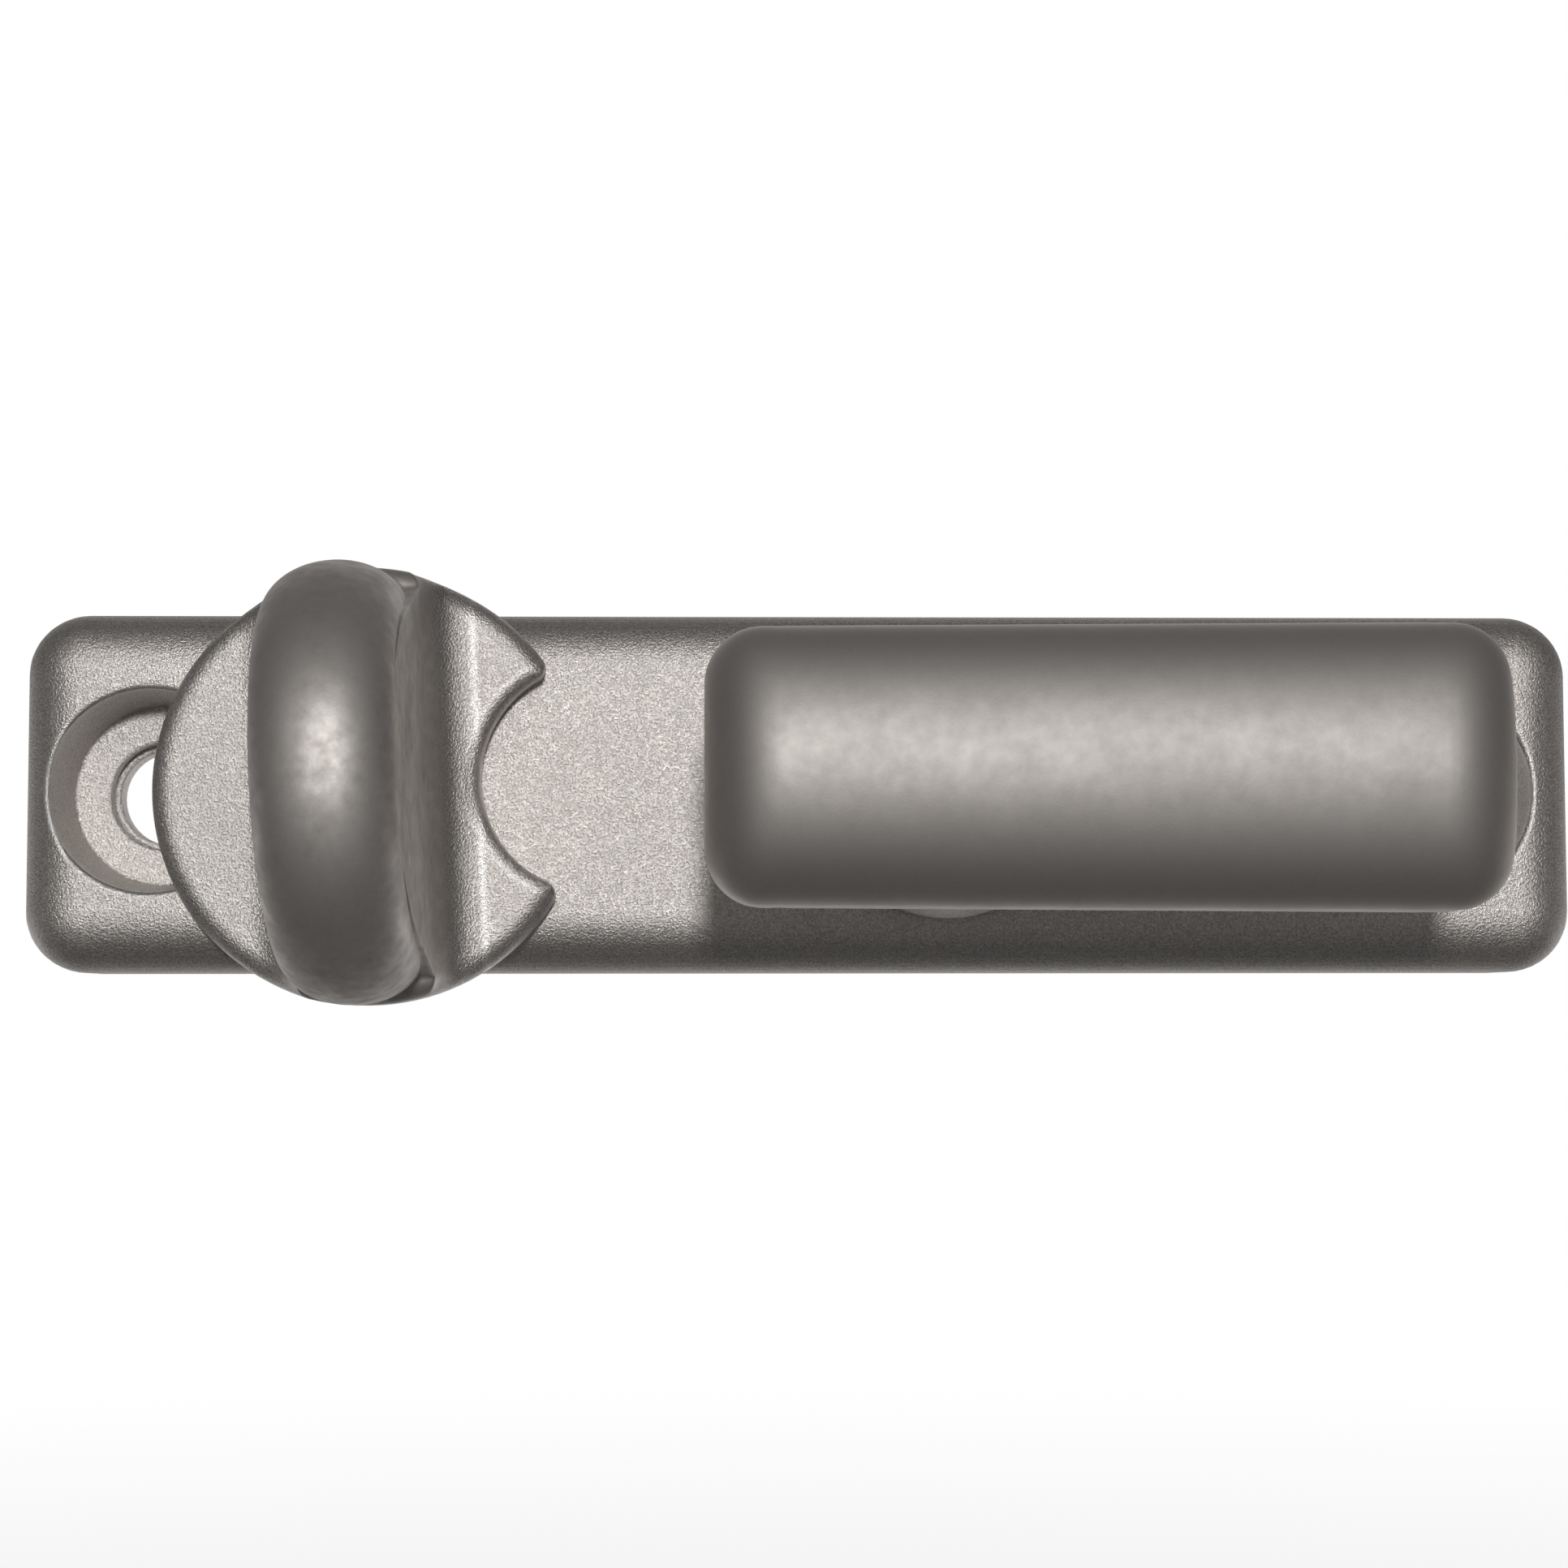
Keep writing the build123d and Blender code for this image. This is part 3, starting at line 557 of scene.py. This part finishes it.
class LockStudio(bpy.types.PropertyGroup):
    """Floor, light and background around the lock."""

    floor_drop: bpy.props.FloatProperty(
        name="Floor drop", description="Distance of the floor below the lock's centre",
        default=0.14, min=0.02, subtype="DISTANCE",
    )
    floor_width: bpy.props.FloatProperty(
        name="Floor width", description="Width of the floor", default=6.0, min=0.5, subtype="DISTANCE",
    )
    floor_tone: bpy.props.FloatProperty(
        name="Floor tone", description="Lightness of the floor where the lamps light it",
        default=0.3, min=0.0, max=1.0, subtype="FACTOR",
    )
    room_level: bpy.props.FloatProperty(
        name="Room level", description="Brightness of the grey room in front of the lock",
        default=0.16, min=0.0,
    )
    softbox_level: bpy.props.FloatProperty(
        name="Softbox level", description="Brightness of the large soft light by the camera",
        default=0.3, min=0.0,
    )
    softbox_lift: bpy.props.FloatProperty(
        name="Softbox lift", description="Angle of the soft light above the camera's line",
        default=math.radians(14), subtype="ANGLE",
    )
    softbox_spread: bpy.props.FloatProperty(
        name="Softbox spread", description="Angle at which the soft light has half its brightness",
        default=math.radians(24), subtype="ANGLE",
    )
    key_energy: bpy.props.FloatProperty(
        name="Key energy", description="Power of the key light in watts", default=7.0, min=0.0,
    )
    key_size: bpy.props.FloatProperty(
        name="Key size", description="Width of the key light", default=0.12, min=0.001, subtype="DISTANCE",
    )
    key_distance: bpy.props.FloatProperty(
        name="Key distance", description="Distance of the key light from the plate", default=1.2, min=0.1,
        subtype="DISTANCE",
    )
    key_lift: bpy.props.FloatProperty(
        name="Key lift", description="Angle of the key light above the camera's line",
        default=math.radians(11.5), subtype="ANGLE",
    )
    key_turn: bpy.props.FloatProperty(
        name="Key turn", description="Angle of the key light to the lever's side",
        default=math.radians(0.5), subtype="ANGLE",
    )


# Operators, one for each piece or group of like pieces

class LOCK_OT_plate(bpy.types.Operator):
    """Finish the cast plate"""

    bl_idname = "lock.plate"
    bl_label = "Plate"

    def execute(self, context):
        finish = context.scene.lock_finish
        # The counterbores' rims get painted highlights
        give("base_plate", casting_material("Speckled satin", finish, add_painted_highlight=counterbore_painted_highlight))
        return {"FINISHED"}


class LOCK_OT_lever(bpy.types.Operator):
    """Finish the lever, handled on its grip and speckled on its neck"""

    bl_idname = "lock.lever"
    bl_label = "Lever"

    def execute(self, context):
        finish = context.scene.lock_finish
        # The grip's steep sides get a painted reflection
        give("lever_handle", casting_material(
            "Handled lever satin", finish, LEVER_HANDLED, mottle=0.6, shade=finish.lever_shade,
            painted_rim_reflection=finish.lever_painted_reflection,
        ))
        return {"FINISHED"}


class LOCK_OT_thumb_turn(bpy.types.Operator):
    """Finish the thumb-turn, handled on its arch and speckled on its disc"""

    bl_idname = "lock.thumb_turn"
    bl_label = "Thumb-turn"

    def execute(self, context):
        finish = context.scene.lock_finish
        # Painted reflection on the arch's steep sides, painted highlights on edges and painted shade in the
        # corner
        give("thumb_turn", casting_material(
            "Handled thumb-turn satin", finish, ARCH_HANDLED, mottle=2.0, shade=finish.arch_shade,
            painted_rim_reflection=finish.arch_painted_reflection, add_painted_highlight=thumb_turn_painted_highlight, add_painted_shade=thumb_turn_painted_shade,
        ))
        return {"FINISHED"}


class LOCK_OT_steel_pieces(bpy.types.Operator):
    """Finish the spindles, cover, screws, rings, washers, springs and balls"""

    bl_idname = "lock.steel_pieces"
    bl_label = "Steel pieces"

    def execute(self, context):
        zinc = metal_material(
            "Zinc plating", light=(0.72, 0.73, 0.74), dark=(0.5, 0.51, 0.52), roughness=0.3,
            grain_size=0.4, contrast=0.4, mottle=0.6, relief_strength=0.1,
        )
        spring = metal_material(
            "Spring steel", light=(0.42, 0.42, 0.43), dark=(0.25, 0.25, 0.26), roughness=0.28,
            grain_size=0.4, contrast=0.3, mottle=0.4, relief_strength=0.05,
        )
        black = metal_material(
            "Black oxide", light=(0.09, 0.09, 0.095), dark=(0.05, 0.05, 0.055), roughness=0.4,
            grain_size=0.3, contrast=0.4, mottle=0.4, relief_strength=0.1,
        )
        for name in ("lever_spindle", "turn_tailpiece", "back_cover", "cover_screws", "lever_index_disc"):
            give(name, zinc)
        for name in (
            "lever_washer", "lever_disc_spring", "lever_circlip", "turn_washer", "turn_disc_spring",
            "turn_circlip", "turn_cross_pin", "index_ball_left", "index_ball_right", "index_spring_left",
            "index_spring_right", "turn_detent_ball", "turn_detent_spring",
        ):
            give(name, spring)
        give("lever_grub_screw", black)
        return {"FINISHED"}


class LOCK_OT_bushes(bpy.types.Operator):
    """Finish the two nylon bushes"""

    bl_idname = "lock.bushes"
    bl_label = "Bushes"

    def execute(self, context):
        nylon = metal_material(
            "Black nylon", light=(0.06, 0.06, 0.06), dark=(0.04, 0.04, 0.04), roughness=0.5,
            grain_size=0.3, contrast=0.4, mottle=0.4, relief_strength=0.2, metallic=0.0,
        )
        for name in ("lever_bush", "turn_bush"):
            give(name, nylon)
        return {"FINISHED"}


def seen_white(tree, behind, place):
    """Share of white: all of it to the camera, and to metal and glass where it lies behind the lock."""
    path = add_node(tree, "ShaderNodeLightPath", place)
    glossy, through = path.outputs["Is Glossy Ray"], path.outputs["Is Transmission Ray"]
    mirrored = math_node(tree, "MAXIMUM", (place[0] + 200, place[1]), glossy, through)
    share = math_node(tree, "MULTIPLY", (place[0] + 380, place[1]), mirrored, behind)
    return math_node(tree, "MAXIMUM", (place[0] + 560, place[1]), path.outputs["Is Camera Ray"], share)


def studio_world(studio):
    """White behind the lock, and in front of it a grey room with one large soft light."""
    world = bpy.data.worlds.new("Studio")
    bpy.context.scene.world = world
    world.use_nodes = True
    tree = world.node_tree
    tree.nodes.clear()
    output = add_node(tree, "ShaderNodeOutputWorld", (900, 0))
    place = add_node(tree, "ShaderNodeTexCoord", (-1100, 0))
    split = add_node(tree, "ShaderNodeSeparateXYZ", (-900, 0))
    tree.links.new(place.outputs["Generated"], split.inputs[0])
    # Soft glow that falls off with the angle from its own middle
    lift = studio.softbox_lift
    middle = (0.0, -math.cos(lift), math.sin(lift))
    facing = vector_node(tree, "DOT_PRODUCT", (-900, 250), place.outputs["Generated"], middle)
    angle = math_node(tree, "ARCCOSINE", (-700, 250), facing)
    ratio = math_node(tree, "DIVIDE", (-520, 250), angle, studio.softbox_spread)
    square = math_node(tree, "POWER", (-340, 250), ratio, 2.0)
    fall = math_node(tree, "POWER", (-160, 250), 0.5, square)
    glow = math_node(tree, "MULTIPLY", (20, 250), fall, studio.softbox_level)
    # The room is darker below
    upward = math_node(tree, "MULTIPLY_ADD", (-340, 0), split.outputs["Z"], ROOM_RISE, ROOM_MIDDLE)
    room = math_node(tree, "MULTIPLY", (-160, 0), upward, studio.room_level)
    level = math_node(tree, "ADD", (200, 100), glow, room)
    front = add_node(tree, "ShaderNodeBackground", (400, 100))
    tree.links.new(level, front.inputs["Strength"])
    white = add_node(tree, "ShaderNodeBackground", (400, -100))
    white.inputs["Color"].default_value = (1.0, 1.0, 1.0, 1.0)
    behind = range_node(tree, (-160, -300), split.outputs["Y"], *BACKGROUND_BEHIND)
    mix = add_node(tree, "ShaderNodeMixShader", (650, 0))
    tree.links.new(seen_white(tree, behind, (-160, -600)), mix.inputs["Fac"])
    tree.links.new(front.outputs[0], mix.inputs[1])
    tree.links.new(white.outputs[0], mix.inputs[2])
    tree.links.new(mix.outputs[0], output.inputs["Surface"])


def floor_material(studio):
    """Pale floor that runs out into white away from the lock and keeps its shadow near it."""
    material, tree, shader = new_material("Pale floor")
    output = tree.nodes["Material Output"]
    tone = studio.floor_tone
    where = place_in_millimetres(tree, (-1300, 0))
    grain = add_node(tree, "ShaderNodeTexNoise", (-900, 300), Scale=0.4, Detail=3.0)
    tree.links.new(where, grain.inputs["Vector"])
    pale = colour_mix(
        tree, (-600, 300), grain.outputs["Fac"], (tone * 0.97, tone * 0.97, tone * 0.96), (tone, tone, tone)
    )
    tree.links.new(pale, shader.inputs["Base Color"])
    shader.inputs["Roughness"].default_value = 0.9
    split = add_node(tree, "ShaderNodeSeparateXYZ", (-900, 0))
    tree.links.new(where, split.inputs[0])
    behind = range_node(tree, (-600, 0), split.outputs["Y"], *FLOOR_BEHIND)
    distance = vector_node(tree, "LENGTH", (-900, -250), where)
    far = range_node(tree, (-600, -250), distance, *FLOOR_FADE, FLOOR_NEAR_WHITE, 1.0, smooth=True)
    white = add_node(tree, "ShaderNodeEmission", (-100, -100), Strength=1.0)
    share = math_node(tree, "MULTIPLY", (60, -300), seen_white(tree, behind, (-700, -500)), far)
    mix = add_node(tree, "ShaderNodeMixShader", (200, 100))
    tree.links.new(share, mix.inputs["Fac"])
    tree.links.new(shader.outputs[0], mix.inputs[1])
    tree.links.new(white.outputs[0], mix.inputs[2])
    tree.links.new(mix.outputs[0], output.inputs["Surface"])
    return material


def add_floor(studio):
    """Large flat floor below the lock."""
    half = studio.floor_width / 2
    corners = [(-half, -half, 0.0), (half, -half, 0.0), (half, half, 0.0), (-half, half, 0.0)]
    mesh = bpy.data.meshes.new("Floor")
    mesh.from_pydata(corners, [], [(0, 1, 2, 3)])
    mesh.materials.append(floor_material(studio))
    floor = bpy.data.objects.new("Floor", mesh)
    floor.location = (0.0, 0.0, -studio.floor_drop)
    bpy.context.scene.collection.objects.link(floor)


class LOCK_OT_stage(bpy.types.Operator):
    """Set the camera, the floor, the light and the white background"""

    bl_idname = "lock.stage"
    bl_label = "Stage"

    def execute(self, context):
        scene = context.scene
        scene.view_settings.view_transform = "Standard"
        studio = scene.lock_studio
        studio_world(studio)
        add_floor(studio)
        camera_data = bpy.data.cameras.new("Camera")
        camera_data.sensor_width = SENSOR_WIDTH
        camera_data.lens = FOCAL_PIXELS / PHOTO_WIDTH * SENSOR_WIDTH
        camera_data.clip_start = 0.01
        camera = bpy.data.objects.new("Camera", camera_data)
        scene.collection.objects.link(camera)
        face_on = Matrix.Rotation(math.radians(90), 3, "X")
        turned = (
            Matrix.Rotation(CAMERA_ROLL, 3, "Z")
            @ Matrix.Rotation(CAMERA_TILT_UP, 3, "X")
            @ Matrix.Rotation(CAMERA_TURN, 3, "Y")
        )
        camera.matrix_world = Matrix.Translation(CAMERA_PLACE) @ (face_on @ turned.transposed()).to_4x4()
        scene.camera = camera
        key_data = bpy.data.lights.new("Key light", "AREA")
        key_data.shape = "DISK"
        key_data.size = studio.key_size
        key_data.energy = studio.key_energy
        key = bpy.data.objects.new("Key light", key_data)
        scene.collection.objects.link(key)
        level = studio.key_distance * math.cos(studio.key_lift)
        key.location = (
            level * math.sin(studio.key_turn),
            -level * math.cos(studio.key_turn),
            studio.key_distance * math.sin(studio.key_lift),
        )
        key.rotation_euler = (Vector((0, 0, 0)) - key.location).to_track_quat("-Z", "Y").to_euler()
        return {"FINISHED"}


class LOCK_PT_panel(bpy.types.Panel):
    """Sidebar panel that lists the steps and the settings of the lock"""

    bl_label = "Door Lock"
    bl_idname = "LOCK_PT_panel"
    bl_space_type = "VIEW_3D"
    bl_region_type = "UI"
    bl_category = "Door Lock"

    def draw(self, context):
        layout = self.layout
        for group in (context.scene.lock_finish, context.scene.lock_studio):
            column = layout.column()
            for name in group.__annotations__:
                column.prop(group, name)
        for operator in STEPS:
            layout.operator(operator.bl_idname)


STEPS = (
    LOCK_OT_plate, LOCK_OT_lever, LOCK_OT_thumb_turn, LOCK_OT_steel_pieces, LOCK_OT_bushes, LOCK_OT_stage
)
CLASSES = (LockFinish, LockStudio, *STEPS, LOCK_PT_panel)


def register():
    for each in CLASSES:
        bpy.utils.register_class(each)
    bpy.types.Scene.lock_finish = bpy.props.PointerProperty(type=LockFinish)
    bpy.types.Scene.lock_studio = bpy.props.PointerProperty(type=LockStudio)


def unregister():
    del bpy.types.Scene.lock_studio
    del bpy.types.Scene.lock_finish
    for each in reversed(CLASSES):
        bpy.utils.unregister_class(each)


def main():
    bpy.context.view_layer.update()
    register()
    bpy.ops.lock.plate()
    bpy.ops.lock.lever()
    bpy.ops.lock.thumb_turn()
    bpy.ops.lock.steel_pieces()
    bpy.ops.lock.bushes()
    bpy.ops.lock.stage()


if __name__ == "__main__":
    main()
